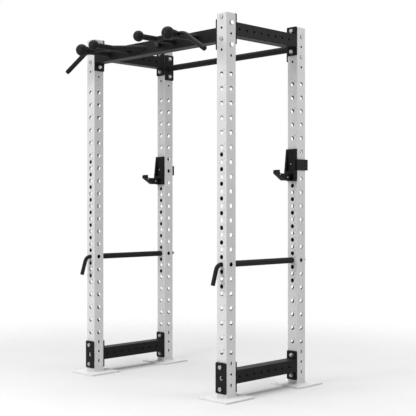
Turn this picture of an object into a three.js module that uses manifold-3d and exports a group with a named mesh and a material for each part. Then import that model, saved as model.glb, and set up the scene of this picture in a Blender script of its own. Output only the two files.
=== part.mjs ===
// Four-post power rack with a multi-grip pull-up crossmember, a straight rear pull-up bar,
// two hook-on J-cups and two pin-and-pipe safeties.
// Millimetres. +Z is up, the lifter walks in from -Y, and the rack is mirrored about X = 0.
// Y positions below are measured from the middle of the four uprights.

import * as THREE from 'three';
import { mergeVertices } from 'three/addons/utils/BufferGeometryUtils.js';
import Module from 'manifold-3d';

const wasm = await Module();
wasm.setup();

// ---------------------------------------------------------------- driving dimensions

const TUBE = 75;
const TUBE_WALL = 3;
const TUBE_CHAMFER = 3.6;
const UPRIGHT_LENGTH = 2100;
const UPRIGHT_X = 580;
const UPRIGHT_Y = 300;

const FOOT_SIZE = 220;
const FOOT_THICK = 10;
const FOOT_CHAMFER = 4;
const ANCHOR_OFFSET = 86;
const ANCHOR_HOLE_R = 7;
const CAP_DEPTH = 10;
const CAP_CROWN = 4;

const HOLE_R = 12.5;
const HOLE_PITCH = 80;
const HOLE_FIRST_Z = 258;
const HOLE_COUNT = 20;
const FINE_FIRST_Z = 618;
const FINE_COUNT = 10;
const HOLE_SIDES = 6;
const SMALL_HOLE_SIDES = 4;
const DRILL_PAST = 10;

const BOLT_R = 6;
const BOLT_HOLE_R = 6.6;
const BOLT_SPACING = 120;
const HEAD_R = 13.5;
const HEAD_CROWN_R = 8.5;
const HEAD_HEIGHT = 9;
const NUT_R = 11;
const NUT_HEIGHT = 10;
const THREAD_END = 3;

const PLATE_THICK = 8;
const PLATE_HEIGHT = 170;
const PLATE_WIDTH = 74.4;
const BACKING_WIDTH = 79;
const PLATE_CHAMFER = 5;
const PLATE_EYE_R = 13;
const WELD_LAP = 1;

const BEAM_WIDTH = 74.4;
const BEAM_HEIGHT = 75;
const BEAM_CHAMFER = 2;
const BEAM_HOLE_R = 6.5;
const BEAM_HOLE_PITCH = 60;
const BEAM_HOLE_COUNT = 8;
const BEAM_HOLE_FIRST_Y = -232;
const LOWER_BEAM_Z = 118;
const UPPER_BEAM_Z = 2030;
const CROSS_Z = 1998;

const REAR_BAR_R = 20;
const REAR_BAR_WALL = 3;
const REAR_BAR_DROP = 4;
const REAR_BAR_EYE_R = 10;

const INNER_ARM_X = 201;
const INNER_ARM_R = 16;
const INNER_BALL_Y = -607;
const INNER_BALL_R = 30.5;
const OUTER_ARM_X = 384;
const OUTER_ARM_R = 19.5;
const OUTER_BALL_Y = -554.5;
const OUTER_BALL_R = 36;
const OUTER_NECK_R = 26;
const OUTER_NECK_LENGTH = 45;
const BALL_SINK = 8;
const BALL_SIDES = 12;
const BALL_RINGS = 6;
const GRIP_R = 14;
const GRIP_BEND_TRIM = 32;
const GRIP_PATH_STEPS = 16;
const GRIP_ROOT_X = 57;
const GRIP_CROSS_Y = -478;
const GRIP_BEND = [432, -480, 2002];
const GRIP_TIP = [610, -496, 1893];

const PIN_R = 12;
const PIN_HOLE_Z = 738;
const PIN_REAR_Y = 383;
const PIN_NOSE_LENGTH = 15;
const PIN_NOSE_R = 5;
const PIN_HANDLE_START_Y = -338;
const PIN_HANDLE_BEND_R = 45;
const PIN_HANDLE_BEND_DEG = 73;
const PIN_HANDLE_STRAIGHT = 83;
const PIN_HANDLE_STEPS = 8;
const PIN_HANDLE_LAP = 20;
const PIPE_R = 17.5;
const PIPE_WALL = 4;
const PIPE_END_GAP = 6.5;

const CUP_PIVOT_Z = 1378;
const CUP_TOP_Z = 1391;
const CUP_BOTTOM_Z = 1205;
const CUP_GAP = 0.5;
const CUP_PIN_LENGTH = 76;
const CUP_STRAP_LOW_Z = 1269;
const CUP_STRAP_HIGH_Z = 1333;
const CUP_STRAP_GAP = 1;
const CUP_FLANGE_GAP = 5;
const HOOK_WIDTH = 32;
const HOOK_FLOOR_Z = 1207;
const HOOK_HEEL_Y = 174;
const HOOK_TIP_Y = 108;
const HOOK_SLOPE_TOP_Z = 1246;
const HOOK_LIP_Z = 1265;
const HOOK_INNER_RISE = 4.5;
const HOOK_INNER_RUN = 3;
const LINER_WIDTH = 75;
const LINER_PAD_THICK = 2.7;
const LINER_TOP_THICK = 3;
const LINER_FOOT_THICK = 21;
const LINER_FOOT_Z = 1208;
const LINER_LAP = 3;
const RECESS_WIDTH = 46;
const RECESS_LOW_Z = 1264;
const RECESS_HIGH_Z = 1380;
const CUP_SEAT_Z = 1248;
const SEAT_LIP_Z = 1268;
const SEAT_LIP_INNER_Y = 133;
const SEAT_LIP_ROUND = 3;
const SEAT_CORNER_RUN = 9;
const SEAT_CORNER_RISE = 5;

const TOUCH_GAP = 0.3;
const ROUND_SIDES = 12;
const GRIP_SIDES = 8;

const SIDES = [['left', -1], ['right', 1]];
const ENDS = [['front', -1], ['rear', 1]];

// ---------------------------------------------------------------- materials

const FINISHES = {
  white: { color: 0xe9e9e7, roughness: 0.55, metalness: 0.0 },
  black: { color: 0x1d1e20, roughness: 0.6, metalness: 0.1 },
  zinc: { color: 0xb9bcc0, roughness: 0.35, metalness: 0.9 },
  liner: { color: 0x17181a, roughness: 0.5, metalness: 0.0 },
  cap: { color: 0xe4e4e2, roughness: 0.45, metalness: 0.0 },
};

// ---------------------------------------------------------------- solids

function solidOf(geometry) {
  const bare = geometry.clone();
  bare.deleteAttribute('normal');
  bare.deleteAttribute('uv');
  const welded = mergeVertices(bare, 1e-4);
  const vertProperties = new Float32Array(welded.attributes.position.array);
  const triVerts = new Uint32Array(welded.index.array);
  return new wasm.Manifold(new wasm.Mesh({ numProp: 3, vertProperties, triVerts }));
}

function geometryOf(solid) {
  const mesh = solid.getMesh();
  const geometry = new THREE.BufferGeometry();
  geometry.setAttribute('position', new THREE.BufferAttribute(mesh.vertProperties, 3));
  geometry.setIndex(new THREE.BufferAttribute(mesh.triVerts, 1));
  geometry.computeVertexNormals();
  return geometry;
}

function cut(body, tools) {
  return geometryOf(tools.reduce((rest, tool) => rest.subtract(solidOf(tool)), solidOf(body)));
}

function join(bodies) {
  return geometryOf(bodies.map(solidOf).reduce((whole, body) => whole.add(body)));
}

// Prism or round bar centred on `at`, its length along `axis`.
function bar(radius, length, axis, at, sides = ROUND_SIDES, farRadius = radius) {
  const geometry = new THREE.CylinderGeometry(farRadius, radius, length, sides);
  if (axis === 'x') geometry.rotateZ(-Math.PI / 2);
  if (axis === 'z') geometry.rotateX(Math.PI / 2);
  return geometry.translate(...at);
}

// A drill whose flats, not its corners, lie at the hole's radius, so a round pin clears it.
function drill(radius, length, axis, at, sides = HOLE_SIDES) {
  return bar(radius / Math.cos(Math.PI / sides), length, axis, at, sides);
}

function block(low, high) {
  const size = high.map((value, i) => value - low[i]);
  const middle = high.map((value, i) => (value + low[i]) / 2);
  return new THREE.BoxGeometry(...size).translate(...middle);
}

function chamferedRectangle(width, height, corner) {
  const x = width / 2;
  const y = height / 2;
  return new THREE.Shape([
    new THREE.Vector2(-x + corner, -y),
    new THREE.Vector2(x - corner, -y),
    new THREE.Vector2(x, -y + corner),
    new THREE.Vector2(x, y - corner),
    new THREE.Vector2(x - corner, y),
    new THREE.Vector2(-x + corner, y),
    new THREE.Vector2(-x, y - corner),
    new THREE.Vector2(-x, -y + corner),
  ]);
}

function extrude(shape, depth) {
  return new THREE.ExtrudeGeometry(shape, { depth, bevelEnabled: false });
}

// Outline drawn in Y and Z, with its thickness along X from x = 0.
function extrudeAlongX(shape, thickness) {
  return extrude(shape, thickness).rotateX(Math.PI / 2).rotateZ(Math.PI / 2);
}

// Outline drawn in X and Z, with its thickness along Y from y = 0.
function extrudeAlongY(shape, thickness) {
  return extrude(shape, thickness).rotateX(Math.PI / 2).translate(0, thickness, 0);
}

function outline(points) {
  return new THREE.Shape(points.map(([u, v]) => new THREE.Vector2(u, v)));
}

// Pipe along Y with open ends, centred on the origin.
function pipe(radius, wall, length) {
  const half = length / 2;
  const profile = [
    [radius - wall, -half], [radius, -half], [radius, half], [radius - wall, half],
    [radius - wall, -half],
  ].map(([r, y]) => new THREE.Vector2(r, y));
  return new THREE.LatheGeometry(profile, ROUND_SIDES);
}

// ---------------------------------------------------------------- uprights

function gridHeights(first, count) {
  return Array.from({ length: count }, (_, k) => first + k * HOLE_PITCH);
}

function boltHeights(middle) {
  return [middle - BOLT_SPACING / 2, middle + BOLT_SPACING / 2];
}

// Perforated tube, placed by the point on the floor below its centre line.
function uprightGeometry() {
  const section = chamferedRectangle(TUBE, TUBE, TUBE_CHAMFER);
  const inner = TUBE / 2 - TUBE_WALL;
  section.holes.push(outline([[-inner, -inner], [-inner, inner], [inner, inner], [inner, -inner]]));
  const tube = extrude(section, UPRIGHT_LENGTH).translate(0, 0, FOOT_THICK);
  const through = TUBE + 2 * DRILL_PAST;
  const boltHoles = (middleZ, axis) => boltHeights(middleZ).map((z) =>
    drill(BOLT_HOLE_R, through, axis, [0, 0, z], SMALL_HOLE_SIDES));
  const grid = gridHeights(HOLE_FIRST_Z, HOLE_COUNT);
  const fine = gridHeights(FINE_FIRST_Z, FINE_COUNT);
  return cut(tube, [
    ...grid.map((z) => drill(HOLE_R, through, 'x', [0, 0, z])),
    ...[...grid, ...fine].map((z) => drill(HOLE_R, through, 'y', [0, 0, z])),
    ...boltHoles(CROSS_Z, 'x'),
    ...boltHoles(UPPER_BEAM_Z, 'y'),
    ...boltHoles(LOWER_BEAM_Z, 'y'),
  ]);
}

function footPlateGeometry() {
  const plate = extrude(chamferedRectangle(FOOT_SIZE, FOOT_SIZE, FOOT_CHAMFER), FOOT_THICK);
  const anchors = [-1, 1].flatMap((a) => [-1, 1].map((b) => [a * ANCHOR_OFFSET, b * ANCHOR_OFFSET, 0]));
  const through = 2 * (FOOT_THICK + DRILL_PAST);
  return cut(plate, anchors.map((at) => drill(ANCHOR_HOLE_R, through, 'z', at)));
}

// Plug pressed into the tube's mouth, with a low chamfered crown above it.
function endCapGeometry() {
  const half = TUBE / 2 - TUBE_WALL - TOUCH_GAP;
  const plug = block([-half, -half, -CAP_DEPTH], [half, half, WELD_LAP / 2]);
  const crownR = half * Math.SQRT2;
  const crown = bar(crownR, CAP_CROWN, 'z', [0, 0, CAP_CROWN / 2], 4, crownR - CAP_CROWN * Math.SQRT2);
  return join([plug, crown.rotateZ(Math.PI / 4)]);
}

// ---------------------------------------------------------------- beams and plates

// Flat plate square to Y, from y = 0 towards +Y, with two bolt holes and a centre hole.
function boltPlateGeometry(width, eyeRadius) {
  const plate = extrudeAlongY(chamferedRectangle(width, PLATE_HEIGHT, PLATE_CHAMFER), PLATE_THICK);
  return cut(plate, boltAndEyeDrills(eyeRadius));
}

function boltAndEyeDrills(eyeRadius) {
  const through = 2 * (PLATE_THICK + NUT_HEIGHT + DRILL_PAST);
  return [
    ...boltHeights(0).map((z) => drill(BOLT_HOLE_R, through, 'y', [0, 0, z])),
    drill(eyeRadius, through, 'y', [0, 0, 0]),
  ];
}

// Bolting plate for a beam's end, its outer face at y = 0 and its weld nuts towards +Y.
function endPlateGeometry(eyeRadius) {
  const plate = extrudeAlongY(chamferedRectangle(PLATE_WIDTH, PLATE_HEIGHT, PLATE_CHAMFER), PLATE_THICK);
  const nutLength = NUT_HEIGHT + WELD_LAP;
  const nutY = PLATE_THICK - WELD_LAP + nutLength / 2;
  const nuts = boltHeights(0).map((z) => bar(NUT_R, nutLength, 'y', [0, nutY, z], 6));
  return cut(join([plate, ...nuts]), boltAndEyeDrills(eyeRadius));
}

// Member along Y between two end plates whose outer faces are at y = -reach and y = reach.
function weldedMember(member, reach, eyeRadius) {
  return join([
    member,
    endPlateGeometry(eyeRadius).translate(0, -reach, 0),
    endPlateGeometry(eyeRadius).rotateZ(Math.PI).translate(0, reach, 0),
  ]);
}

function memberLength(reach) {
  return 2 * (reach - PLATE_THICK + WELD_LAP);
}

function beamTube(length) {
  const section = chamferedRectangle(BEAM_WIDTH, BEAM_HEIGHT, BEAM_CHAMFER);
  const x = BEAM_WIDTH / 2 - TUBE_WALL;
  const z = BEAM_HEIGHT / 2 - TUBE_WALL;
  section.holes.push(outline([[-x, -z], [-x, z], [x, z], [x, -z]]));
  return extrudeAlongY(section, length).translate(0, -length / 2, 0);
}

// Square tube from the front upright to the rear one, with a row of small holes that starts
// near the front.
function sideBeamGeometry() {
  const reach = UPRIGHT_Y - TUBE / 2;
  const through = BEAM_WIDTH + 2 * DRILL_PAST;
  const drills = Array.from({ length: BEAM_HOLE_COUNT }, (_, k) => {
    const y = BEAM_HOLE_FIRST_Y + k * BEAM_HOLE_PITCH;
    return drill(BEAM_HOLE_R, through, 'x', [0, y, 0], SMALL_HOLE_SIDES);
  });
  return weldedMember(cut(beamTube(memberLength(reach)), drills), reach, PLATE_EYE_R);
}

// The same construction across the rack, along X.
function frontBeamGeometry() {
  const reach = UPRIGHT_X - TUBE / 2;
  return weldedMember(beamTube(memberLength(reach)), reach, PLATE_EYE_R).rotateZ(Math.PI / 2);
}

function rearBarGeometry() {
  const reach = UPRIGHT_X - TUBE / 2;
  const tube = pipe(REAR_BAR_R, REAR_BAR_WALL, memberLength(reach)).translate(0, 0, -REAR_BAR_DROP);
  return weldedMember(tube, reach, REAR_BAR_EYE_R).rotateZ(Math.PI / 2);
}

// ---------------------------------------------------------------- bolts

// Bolt along +Y: the head's seat is at y = 0 and the shank runs to y = length.
function boltGeometry(length) {
  const head = bar(HEAD_CROWN_R, HEAD_HEIGHT, 'y', [0, -HEAD_HEIGHT / 2, 0], 6, HEAD_R);
  const shank = bar(BOLT_R, length + WELD_LAP, 'y', [0, (length - WELD_LAP) / 2, 0], 6);
  return join([head, shank]);
}

// ---------------------------------------------------------------- pull-up grips

const BEAM_FACE_Y = -UPRIGHT_Y - BEAM_WIDTH / 2;

// Straight bar from the beam's face with a ball on its free end, drilled for the angled grip.
function innerBallGripGeometry(side) {
  const x = side * INNER_ARM_X;
  const armMiddle = [x, (INNER_BALL_Y + BEAM_FACE_Y) / 2, CROSS_Z];
  const arm = bar(INNER_ARM_R, BEAM_FACE_Y - INNER_BALL_Y, 'y', armMiddle, GRIP_SIDES);
  const ball = ballGeometry(INNER_BALL_R).translate(x, INNER_BALL_Y, CROSS_Z);
  return cut(join([arm, ball]), [angledGripRun(side, GRIP_R + TOUCH_GAP)]);
}

// Thicker bar that flares towards its ball, drilled in the same way.
function outerArmGeometry(side) {
  const endY = OUTER_BALL_Y + OUTER_BALL_R - BALL_SINK;
  const neckY = endY + OUTER_NECK_LENGTH;
  const profile = [
    [0, endY], [OUTER_NECK_R, endY], [OUTER_ARM_R, neckY], [OUTER_ARM_R, BEAM_FACE_Y], [0, BEAM_FACE_Y],
  ].map(([r, y]) => new THREE.Vector2(r, y));
  const arm = new THREE.LatheGeometry(profile, GRIP_SIDES).translate(side * OUTER_ARM_X, 0, CROSS_Z);
  return cut(arm, [angledGripRun(side, GRIP_R + TOUCH_GAP)]);
}

// Ball about the origin with its poles on -Y and +Y.
function ballGeometry(radius) {
  return new THREE.SphereGeometry(radius, BALL_SIDES, BALL_RINGS);
}

// Ball with a pocket on +Y for the outer arm's end.
function outerBallGeometry() {
  const pocketStart = OUTER_BALL_R - BALL_SINK - TOUCH_GAP;
  const pocketMiddle = [0, pocketStart + OUTER_BALL_R / 2, 0];
  const pocket = drill(OUTER_NECK_R + TOUCH_GAP, OUTER_BALL_R, 'y', pocketMiddle, GRIP_SIDES);
  return cut(ballGeometry(OUTER_BALL_R), [pocket]);
}

// Straight runs through `points`, each corner rounded over `trim` on either side.
function bentPath(points, trim) {
  const path = new THREE.CurvePath();
  let from = points[0];
  for (let i = 1; i < points.length - 1; i += 1) {
    const corner = points[i];
    const back = from.clone().sub(corner).setLength(trim);
    const onward = points[i + 1].clone().sub(corner).setLength(trim);
    const bendStart = corner.clone().add(back);
    const bendEnd = corner.clone().add(onward);
    path.add(new THREE.LineCurve3(from, bendStart));
    path.add(new THREE.QuadraticBezierCurve3(bendStart, corner, bendEnd));
    from = bendEnd;
  }
  path.add(new THREE.LineCurve3(from, points[points.length - 1]));
  return path;
}

// Bent run of the angled grip: out of the beam at 45 degrees, across both arms, then down to
// its tip.
function angledGripRun(side, radius) {
  const intoBeam = BEAM_WIDTH / 2;
  const points = [
    [GRIP_ROOT_X - intoBeam, BEAM_FACE_Y + intoBeam, CROSS_Z],
    [GRIP_ROOT_X + BEAM_FACE_Y - GRIP_CROSS_Y, GRIP_CROSS_Y, CROSS_Z],
    GRIP_BEND,
    GRIP_TIP,
  ].map(([x, y, z]) => new THREE.Vector3(side * x, y, z));
  const section = new THREE.Shape().absarc(0, 0, radius, 0, Math.PI * 2);
  const extrudePath = bentPath(points, GRIP_BEND_TRIM);
  return new THREE.ExtrudeGeometry(section, {
    extrudePath,
    steps: GRIP_PATH_STEPS,
    curveSegments: GRIP_SIDES / 2,
  });
}

function angledGripGeometry(side) {
  const low = [-UPRIGHT_X, BEAM_FACE_Y - TOUCH_GAP, CROSS_Z - BEAM_HEIGHT];
  const high = [UPRIGHT_X, 0, CROSS_Z + BEAM_HEIGHT];
  return cut(angledGripRun(side, GRIP_R), [block(low, high)]);
}

// ---------------------------------------------------------------- J-cups

const CUP_PAD_Y = UPRIGHT_Y - TUBE / 2 - CUP_GAP - LINER_PAD_THICK;
const CUP_FACE_Y = CUP_PAD_Y - TOUCH_GAP - PLATE_THICK;

function outward(side, near, far) {
  return side > 0 ? [near, far] : [-far, -near];
}

// Flat bar bent into the hook: along the floor, up the slope, and up a short lip.
function hookBarGeometry() {
  const rootY = CUP_FACE_Y + WELD_LAP;
  const innerY = HOOK_TIP_Y + PLATE_THICK;
  const innerZ = HOOK_FLOOR_Z + PLATE_THICK;
  return extrudeAlongX(outline([
    [rootY, HOOK_FLOOR_Z],
    [HOOK_HEEL_Y, HOOK_FLOOR_Z],
    [HOOK_TIP_Y, HOOK_SLOPE_TOP_Z],
    [HOOK_TIP_Y, HOOK_LIP_Z],
    [innerY, HOOK_LIP_Z],
    [innerY, HOOK_SLOPE_TOP_Z + HOOK_INNER_RISE],
    [HOOK_HEEL_Y + HOOK_INNER_RUN, innerZ],
    [rootY, innerZ],
  ]), HOOK_WIDTH).translate(-HOOK_WIDTH / 2, 0, 0);
}

// Welded steel: back plate with its locating pin, the hook's bar, and the strap and flange
// that wrap the upright's outer side and back.
function cupBracketGeometry(side) {
  const height = CUP_TOP_Z - CUP_BOTTOM_Z;
  const plate = extrudeAlongY(chamferedRectangle(TUBE, height, PLATE_CHAMFER), PLATE_THICK)
    .translate(0, CUP_FACE_Y, CUP_BOTTOM_Z + height / 2);
  const pinStart = CUP_FACE_Y + WELD_LAP;
  const pin = bar(PIN_R, CUP_PIN_LENGTH, 'y', [0, pinStart + CUP_PIN_LENGTH / 2, CUP_PIVOT_Z]);
  const half = TUBE / 2;
  const strapIn = half + CUP_STRAP_GAP;
  const strapOut = strapIn + PLATE_THICK;
  const flangeY = UPRIGHT_Y + half + CUP_FLANGE_GAP;
  const band = (xs, ys) => block([xs[0], ys[0], CUP_STRAP_LOW_Z], [xs[1], ys[1], CUP_STRAP_HIGH_Z]);
  return join([
    plate,
    pin,
    hookBarGeometry(),
    band(outward(side, half - PLATE_THICK, strapOut), [CUP_FACE_Y, CUP_FACE_Y + PLATE_THICK]),
    band(outward(side, strapIn, strapOut), [CUP_FACE_Y, flangeY + PLATE_THICK]),
    band(outward(side, -half, strapOut), [flangeY, flangeY + PLATE_THICK]),
  ]);
}

// Plastic facing of the back plate: thin at the top, thicker towards the seat, recessed in the
// middle, and forked so that it straddles the hook. It folds over the plate's top into the pad
// behind the plate.
function backFacingGeometry() {
  const faceY = CUP_FACE_Y - TOUCH_GAP;
  const foldZ = CUP_TOP_Z + TOUCH_GAP;
  const topZ = foldZ + LINER_PAD_THICK;
  const padY = CUP_PAD_Y + LINER_PAD_THICK;
  const section = extrudeAlongX(outline([
    [faceY, LINER_FOOT_Z],
    [faceY, foldZ],
    [CUP_PAD_Y, foldZ],
    [CUP_PAD_Y, LINER_FOOT_Z],
    [padY, LINER_FOOT_Z],
    [padY, topZ],
    [faceY - LINER_TOP_THICK, topZ],
    [faceY - LINER_FOOT_THICK, CUP_SEAT_Z],
    [faceY - LINER_FOOT_THICK, LINER_FOOT_Z],
  ]), LINER_WIDTH).translate(-LINER_WIDTH / 2, 0, 0);
  const fork = HOOK_WIDTH / 2 + 2 * TOUCH_GAP;
  const pinHole = drill(PIN_R + CUP_GAP, 2 * DRILL_PAST, 'y', [0, padY, CUP_PIVOT_Z], ROUND_SIDES);
  const recess = RECESS_WIDTH / 2;
  return cut(section, [
    block([-fork, 0, 0], [fork, CUP_FACE_Y, CUP_SEAT_Z - LINER_LAP]),
    block([-recess, 0, RECESS_LOW_Z], [recess, faceY - LINER_TOP_THICK, RECESS_HIGH_Z]),
    pinHole,
  ]);
}

// Plastic seat that fills the hook's bar: a flat top for the barbell, then a raised lip.
function seatGeometry() {
  const rootY = CUP_FACE_Y - TOUCH_GAP;
  const floorZ = HOOK_FLOOR_Z + PLATE_THICK + TOUCH_GAP;
  const tipY = HOOK_TIP_Y + PLATE_THICK + TOUCH_GAP;
  const lipY = SEAT_LIP_INNER_Y;
  return extrudeAlongX(outline([
    [rootY, floorZ],
    [rootY, CUP_SEAT_Z],
    [lipY + SEAT_CORNER_RUN, CUP_SEAT_Z],
    [lipY, CUP_SEAT_Z + SEAT_CORNER_RISE],
    [lipY, SEAT_LIP_Z - SEAT_LIP_ROUND],
    [lipY - SEAT_LIP_ROUND, SEAT_LIP_Z],
    [tipY + SEAT_LIP_ROUND, SEAT_LIP_Z],
    [tipY, SEAT_LIP_Z - SEAT_LIP_ROUND],
    [tipY, HOOK_SLOPE_TOP_Z + HOOK_INNER_RISE + TOUCH_GAP],
    [HOOK_HEEL_Y + HOOK_INNER_RUN + TOUCH_GAP, floorZ],
  ]), HOOK_WIDTH).translate(-HOOK_WIDTH / 2, 0, 0);
}

// The facing, the pad and the seat are one moulding.
function cupLinerGeometry() {
  return join([backFacingGeometry(), seatGeometry()]);
}

// ---------------------------------------------------------------- pin-and-pipe safeties

// Round bar along Y whose front end bends down into a hand hold and whose rear end is a blunt
// cone that finds its hole. Its centre line is at z = 0.
function safetyPinGeometry() {
  const bend = THREE.MathUtils.degToRad(PIN_HANDLE_BEND_DEG);
  const at = (y, z) => new THREE.Vector3(0, y, z);
  const bendStart = at(PIN_HANDLE_START_Y, 0);
  const corner = at(PIN_HANDLE_START_Y - PIN_HANDLE_BEND_R * Math.tan(bend / 2), 0);
  const bendEnd = at(
    PIN_HANDLE_START_Y - PIN_HANDLE_BEND_R * Math.sin(bend),
    -PIN_HANDLE_BEND_R * (1 - Math.cos(bend)));
  const down = at(-Math.cos(bend), -Math.sin(bend));
  const end = bendEnd.clone().addScaledVector(down, PIN_HANDLE_STRAIGHT);
  const extrudePath = new THREE.CurvePath();
  extrudePath.add(new THREE.LineCurve3(at(PIN_HANDLE_START_Y + PIN_HANDLE_LAP, 0), bendStart));
  extrudePath.add(new THREE.QuadraticBezierCurve3(bendStart, corner, bendEnd));
  extrudePath.add(new THREE.LineCurve3(bendEnd, end));
  const section = new THREE.Shape().absarc(0, 0, PIN_R, 0, Math.PI * 2);
  const handle = new THREE.ExtrudeGeometry(section, {
    extrudePath,
    steps: PIN_HANDLE_STEPS,
    curveSegments: ROUND_SIDES / 2,
  });
  const shaftY = PIN_HANDLE_START_Y + PIN_HANDLE_LAP / 2;
  const profile = [
    [0, shaftY], [PIN_R, shaftY], [PIN_R, PIN_REAR_Y - PIN_NOSE_LENGTH], [PIN_NOSE_R, PIN_REAR_Y],
    [0, PIN_REAR_Y],
  ].map(([r, y]) => new THREE.Vector2(r, y));
  return join([new THREE.LatheGeometry(profile, ROUND_SIDES), handle]);
}

// Pipe that hangs on the pin between the two uprights and carries a dropped barbell.
function safetyPipeGeometry() {
  return pipe(PIPE_R, PIPE_WALL, 2 * (UPRIGHT_Y - TUBE / 2 - PIPE_END_GAP));
}

// ---------------------------------------------------------------- assembly

const rack = new THREE.Group();

function place(name, geometry, finish, x = 0, y = 0, z = 0) {
  const mesh = new THREE.Mesh(geometry, new THREE.MeshStandardMaterial(FINISHES[finish]));
  mesh.name = name;
  mesh.position.set(x, y, z);
  rack.add(mesh);
  return mesh;
}

function placePosts() {
  const upright = uprightGeometry();
  const foot = footPlateGeometry();
  const cap = endCapGeometry();
  for (const [endName, end] of ENDS) {
    for (const [sideName, side] of SIDES) {
      const x = side * UPRIGHT_X;
      const y = end * UPRIGHT_Y;
      place(`upright_${endName}_${sideName}`, upright, 'white', x, y, 0);
      place(`foot_plate_${endName}_${sideName}`, foot, 'white', x, y, 0);
      place(`end_cap_${endName}_${sideName}`, cap, 'cap', x, y, FOOT_THICK + UPRIGHT_LENGTH);
    }
  }
}

function placeBeams() {
  const sideBeam = sideBeamGeometry();
  const backing = boltPlateGeometry(BACKING_WIDTH, PLATE_EYE_R);
  const backingY = -UPRIGHT_Y - TUBE / 2 - PLATE_THICK;
  for (const [sideName, side] of SIDES) {
    const x = side * UPRIGHT_X;
    place(`lower_side_beam_${sideName}`, sideBeam, 'black', x, 0, LOWER_BEAM_Z);
    place(`upper_side_beam_${sideName}`, sideBeam, 'black', x, 0, UPPER_BEAM_Z);
    place(`backing_plate_${sideName}`, backing, 'black', x, backingY, LOWER_BEAM_Z);
  }
  place('front_beam', frontBeamGeometry(), 'black', 0, -UPRIGHT_Y, CROSS_Z);
  place('rear_pull_up_bar', rearBarGeometry(), 'black', 0, UPRIGHT_Y, CROSS_Z);
}

function placeGrips() {
  const outerBall = outerBallGeometry();
  for (const [sideName, side] of SIDES) {
    place(`inner_ball_grip_${sideName}`, innerBallGripGeometry(side), 'black');
    place(`outer_grip_arm_${sideName}`, outerArmGeometry(side), 'black');
    place(`outer_grip_ball_${sideName}`, outerBall, 'black', side * OUTER_ARM_X, OUTER_BALL_Y, CROSS_Z);
    place(`angled_grip_${sideName}`, angledGripGeometry(side), 'black');
  }
}

function placeCups() {
  for (const [sideName, side] of SIDES) {
    const x = side * UPRIGHT_X;
    place(`jcup_bracket_${sideName}`, cupBracketGeometry(side), 'black', x);
    place(`jcup_liner_${sideName}`, cupLinerGeometry(), 'liner', x);
  }
}

function placeSafeties() {
  const pin = safetyPinGeometry();
  const sleeve = safetyPipeGeometry();
  for (const [sideName, side] of SIDES) {
    place(`safety_pin_${sideName}`, pin, 'black', side * UPRIGHT_X, 0, PIN_HOLE_Z);
    place(`safety_pipe_${sideName}`, sleeve, 'black', side * UPRIGHT_X, 0, PIN_HOLE_Z);
  }
}

// Every bolt enters through an upright and ends in a weld nut on the beam's plate.
function placeBolts() {
  const shortLength = TUBE + PLATE_THICK + NUT_HEIGHT + THREAD_END;
  const shortBolt = boltGeometry(shortLength);
  const longBolt = boltGeometry(shortLength + PLATE_THICK);
  for (const [sideName, side] of SIDES) {
    for (const [endName, end] of ENDS) {
      const corner = `${endName}_${sideName}`;
      const outerY = UPRIGHT_Y + TUBE / 2;
      const backed = end < 0;
      const lowerBolt = backed ? longBolt : shortBolt;
      const lowerHeadY = backed ? outerY + PLATE_THICK : outerY;
      const rows = [
        ['upper_beam', UPPER_BEAM_Z, shortBolt, outerY],
        ['lower_beam', LOWER_BEAM_Z, lowerBolt, lowerHeadY],
      ];
      for (const [row, middleZ, bolt, headY] of rows) {
        boltHeights(middleZ).forEach((z, k) => {
          const name = `bolt_${row}_${corner}_${k + 1}`;
          const mesh = place(name, bolt, 'zinc', side * UPRIGHT_X, end * headY, z);
          mesh.rotation.z = backed ? 0 : Math.PI;
        });
      }
      boltHeights(CROSS_Z).forEach((z, k) => {
        const name = `bolt_cross_${corner}_${k + 1}`;
        const headX = side * (UPRIGHT_X + TUBE / 2);
        const mesh = place(name, shortBolt, 'zinc', headX, end * UPRIGHT_Y, z);
        mesh.rotation.z = side * Math.PI / 2;
      });
    }
  }
}

placePosts();
placeBeams();
placeGrips();
placeCups();
placeSafeties();
placeBolts();

// The origin goes to the middle of the footprint of the whole rack, grips included.
const foremostY = INNER_BALL_Y - INNER_BALL_R;
const rearmostY = UPRIGHT_Y + FOOT_SIZE / 2;
rack.position.y = -(foremostY + rearmostY) / 2;

const model = new THREE.Group();
model.add(rack);

export default model;
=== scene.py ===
"""Looks of a four-post power rack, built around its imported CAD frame.

Metres, +Z up, the lifter walks in from -Y. Every fine piece takes its place from the CAD node that
it stands for, and its own shape is made by the mesh functions below.
"""

import math

import bmesh
import bpy
import numpy as np
from mathutils import Matrix, Vector
from mathutils.geometry import delaunay_2d_cdt


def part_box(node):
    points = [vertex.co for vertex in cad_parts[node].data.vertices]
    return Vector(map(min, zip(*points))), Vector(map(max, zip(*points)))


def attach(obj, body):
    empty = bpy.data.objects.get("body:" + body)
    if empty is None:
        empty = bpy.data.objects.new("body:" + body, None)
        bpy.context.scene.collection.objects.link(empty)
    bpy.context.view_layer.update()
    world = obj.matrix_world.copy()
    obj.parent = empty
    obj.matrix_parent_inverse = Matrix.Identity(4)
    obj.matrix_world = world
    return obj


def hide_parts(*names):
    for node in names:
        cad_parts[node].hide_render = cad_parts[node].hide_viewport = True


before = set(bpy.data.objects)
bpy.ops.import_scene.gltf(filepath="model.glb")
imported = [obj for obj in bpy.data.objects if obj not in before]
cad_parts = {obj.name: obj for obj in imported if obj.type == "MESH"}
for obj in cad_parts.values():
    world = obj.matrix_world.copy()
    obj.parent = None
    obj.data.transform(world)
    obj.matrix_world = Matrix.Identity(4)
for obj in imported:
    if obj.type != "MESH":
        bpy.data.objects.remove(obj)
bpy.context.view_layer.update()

# ---- driving sizes, in metres

TUBE_WALL = 0.003
TUBE_CORNER = 0.0045
TUBE_EDGE = 0.0007
CAP_CROWN = 0.004
CAP_CORNER = 0.004
CAP_EDGE = 0.0025

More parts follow.
